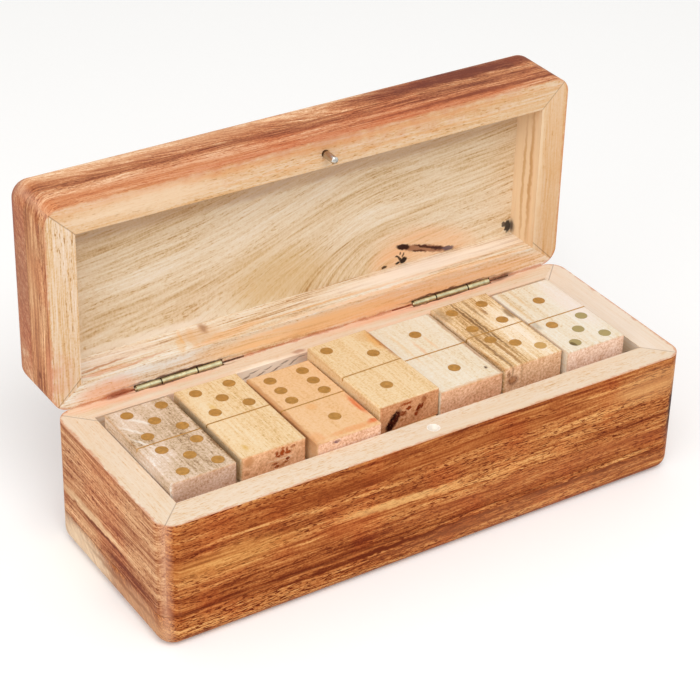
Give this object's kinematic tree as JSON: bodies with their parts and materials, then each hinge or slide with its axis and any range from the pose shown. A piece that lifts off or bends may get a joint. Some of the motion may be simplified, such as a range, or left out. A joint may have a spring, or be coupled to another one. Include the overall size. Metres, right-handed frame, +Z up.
{
  "type": "domino storage box",
  "caption": "Hinged wooden box of mitred boards holding a set of wooden dominoes with brass pips, its lid standing open on two small butt hinges.",
  "frame": {"origin": "middle of the base's underside, on the table", "axes": "+X along the box to the right, +Y to the back, where the hinges are, +Z up"},
  "size_m": [0.18, 0.09, 0.108],
  "materials": {
    "base_wood": "stained and oiled outside, sanded bare on the rim and inside",
    "lid_wood": "stained and oiled outside, sanded bare on the rim and inside",
    "floor_wood": "stained and oiled outside, sanded bare inside",
    "domino_wood": "sanded, edges worn",
    "inlay_brass": "sanded flush, matt",
    "hinge_brass": "plain, slightly dull",
    "steel": "bright"
  },
  "bodies": {
    "base": {"base_front_wall": "base_wood", "base_back_wall": "base_wood", "base_left_wall": "base_wood", "base_right_wall": "base_wood", "base_bottom_board": "floor_wood", "left_hinge_base_leaf": "hinge_brass", "left_hinge_pin": "hinge_brass", "right_hinge_base_leaf": "hinge_brass", "right_hinge_pin": "hinge_brass", "base_hinge_nails": "hinge_brass"},
    "lid": {"lid_front_rail": "lid_wood", "lid_back_rail": "lid_wood", "lid_left_rail": "lid_wood", "lid_right_rail": "lid_wood", "lid_top_board": "floor_wood", "left_hinge_lid_leaf": "hinge_brass", "right_hinge_lid_leaf": "hinge_brass", "lid_hinge_nails": "hinge_brass", "catch_pin": "steel"},
    "domino_0_0_body": {"domino_0_0": "domino_wood"},
    "domino_0_1_body": {"domino_0_1": "domino_wood"},
    "domino_0_2_body": {"domino_0_2": "domino_wood"},
    "domino_5_5_body": {"domino_5_5": "domino_wood", "domino_5_5_brass": "inlay_brass"},
    "domino_0_3_body": {"domino_0_3": "domino_wood"},
    "domino_0_4_body": {"domino_0_4": "domino_wood"},
    "domino_0_6_body": {"domino_0_6": "domino_wood"},
    "domino_0_5_body": {"domino_0_5": "domino_wood", "domino_0_5_brass": "inlay_brass"},
    "domino_1_3_body": {"domino_1_3": "domino_wood"},
    "domino_1_4_body": {"domino_1_4": "domino_wood"},
    "domino_2_2_body": {"domino_2_2": "domino_wood"},
    "domino_1_6_body": {"domino_1_6": "domino_wood", "domino_1_6_brass": "inlay_brass"},
    "domino_2_3_body": {"domino_2_3": "domino_wood"},
    "domino_2_4_body": {"domino_2_4": "domino_wood"},
    "domino_2_5_body": {"domino_2_5": "domino_wood"},
    "domino_1_2_body": {"domino_1_2": "domino_wood", "domino_1_2_brass": "inlay_brass"},
    "domino_2_6_body": {"domino_2_6": "domino_wood"},
    "domino_3_3_body": {"domino_3_3": "domino_wood"},
    "domino_3_5_body": {"domino_3_5": "domino_wood"},
    "domino_1_1_body": {"domino_1_1": "domino_wood", "domino_1_1_brass": "inlay_brass"},
    "domino_3_6_body": {"domino_3_6": "domino_wood"},
    "domino_4_4_body": {"domino_4_4": "domino_wood"},
    "domino_4_5_body": {"domino_4_5": "domino_wood"},
    "domino_3_4_body": {"domino_3_4": "domino_wood", "domino_3_4_brass": "inlay_brass"},
    "domino_4_6_body": {"domino_4_6": "domino_wood"},
    "domino_5_6_body": {"domino_5_6": "domino_wood"},
    "domino_6_6_body": {"domino_6_6": "domino_wood"},
    "domino_1_5_body": {"domino_1_5": "domino_wood", "domino_1_5_brass": "inlay_brass"}
  },
  "joints": [
    {"name": "lid_hinge", "type": "hinge", "parent": "base", "child": "lid", "pos_m": [0, 0.033, 0.042], "axis": [-1, 0, 0], "range_deg": [-90, 0]},
    {"name": "domino_0_0_lift", "type": "slide", "parent": "base", "child": "domino_0_0_body", "axis": [0, 0, 1], "range_m": [0, 0.036]},
    {"name": "domino_0_1_lift", "type": "slide", "parent": "domino_0_0_body", "child": "domino_0_1_body", "axis": [0, 0, 1], "range_m": [0, 0.0273]},
    {"name": "domino_0_2_lift", "type": "slide", "parent": "domino_0_1_body", "child": "domino_0_2_body", "axis": [0, 0, 1], "range_m": [0, 0.0186]},
    {"name": "domino_5_5_lift", "type": "slide", "parent": "domino_0_2_body", "child": "domino_5_5_body", "axis": [0, 0, 1], "range_m": [0, 0.01]},
    {"name": "domino_0_3_lift", "type": "slide", "parent": "base", "child": "domino_0_3_body", "axis": [0, 0, 1], "range_m": [0, 0.036]},
    {"name": "domino_0_4_lift", "type": "slide", "parent": "domino_0_3_body", "child": "domino_0_4_body", "axis": [0, 0, 1], "range_m": [0, 0.0273]},
    {"name": "domino_0_6_lift", "type": "slide", "parent": "domino_0_4_body", "child": "domino_0_6_body", "axis": [0, 0, 1], "range_m": [0, 0.0186]},
    {"name": "domino_0_5_lift", "type": "slide", "parent": "domino_0_6_body", "child": "domino_0_5_body", "axis": [0, 0, 1], "range_m": [0, 0.01]},
    {"name": "domino_1_3_lift", "type": "slide", "parent": "base", "child": "domino_1_3_body", "axis": [0, 0, 1], "range_m": [0, 0.036]},
    {"name": "domino_1_4_lift", "type": "slide", "parent": "domino_1_3_body", "child": "domino_1_4_body", "axis": [0, 0, 1], "range_m": [0, 0.0274]},
    {"name": "domino_2_2_lift", "type": "slide", "parent": "domino_1_4_body", "child": "domino_2_2_body", "axis": [0, 0, 1], "range_m": [0, 0.0189]},
    {"name": "domino_1_6_lift", "type": "slide", "parent": "domino_2_2_body", "child": "domino_1_6_body", "axis": [0, 0, 1], "range_m": [0, 0.0103]},
    {"name": "domino_2_3_lift", "type": "slide", "parent": "base", "child": "domino_2_3_body", "axis": [0, 0, 1], "range_m": [0, 0.036]},
    {"name": "domino_2_4_lift", "type": "slide", "parent": "domino_2_3_body", "child": "domino_2_4_body", "axis": [0, 0, 1], "range_m": [0, 0.0267]},
    {"name": "domino_2_5_lift", "type": "slide", "parent": "domino_2_4_body", "child": "domino_2_5_body", "axis": [0, 0, 1], "range_m": [0, 0.0174]},
    {"name": "domino_1_2_lift", "type": "slide", "parent": "domino_2_5_body", "child": "domino_1_2_body", "axis": [0, 0, 1], "range_m": [0, 0.0081]},
    {"name": "domino_2_6_lift", "type": "slide", "parent": "base", "child": "domino_2_6_body", "axis": [0, 0, 1], "range_m": [0, 0.036]},
    {"name": "domino_3_3_lift", "type": "slide", "parent": "domino_2_6_body", "child": "domino_3_3_body", "axis": [0, 0, 1], "range_m": [0, 0.0272]},
    {"name": "domino_3_5_lift", "type": "slide", "parent": "domino_3_3_body", "child": "domino_3_5_body", "axis": [0, 0, 1], "range_m": [0, 0.0184]},
    {"name": "domino_1_1_lift", "type": "slide", "parent": "domino_3_5_body", "child": "domino_1_1_body", "axis": [0, 0, 1], "range_m": [0, 0.0095]},
    {"name": "domino_3_6_lift", "type": "slide", "parent": "base", "child": "domino_3_6_body", "axis": [0, 0, 1], "range_m": [0, 0.036]},
    {"name": "domino_4_4_lift", "type": "slide", "parent": "domino_3_6_body", "child": "domino_4_4_body", "axis": [0, 0, 1], "range_m": [0, 0.027]},
    {"name": "domino_4_5_lift", "type": "slide", "parent": "domino_4_4_body", "child": "domino_4_5_body", "axis": [0, 0, 1], "range_m": [0, 0.0181]},
    {"name": "domino_3_4_lift", "type": "slide", "parent": "domino_4_5_body", "child": "domino_3_4_body", "axis": [0, 0, 1], "range_m": [0, 0.0091]},
    {"name": "domino_4_6_lift", "type": "slide", "parent": "base", "child": "domino_4_6_body", "axis": [0, 0, 1], "range_m": [0, 0.036]},
    {"name": "domino_5_6_lift", "type": "slide", "parent": "domino_4_6_body", "child": "domino_5_6_body", "axis": [0, 0, 1], "range_m": [0, 0.0271]},
    {"name": "domino_6_6_lift", "type": "slide", "parent": "domino_5_6_body", "child": "domino_6_6_body", "axis": [0, 0, 1], "range_m": [0, 0.0183]},
    {"name": "domino_1_5_lift", "type": "slide", "parent": "domino_6_6_body", "child": "domino_1_5_body", "axis": [0, 0, 1], "range_m": [0, 0.0095]}
  ]
}
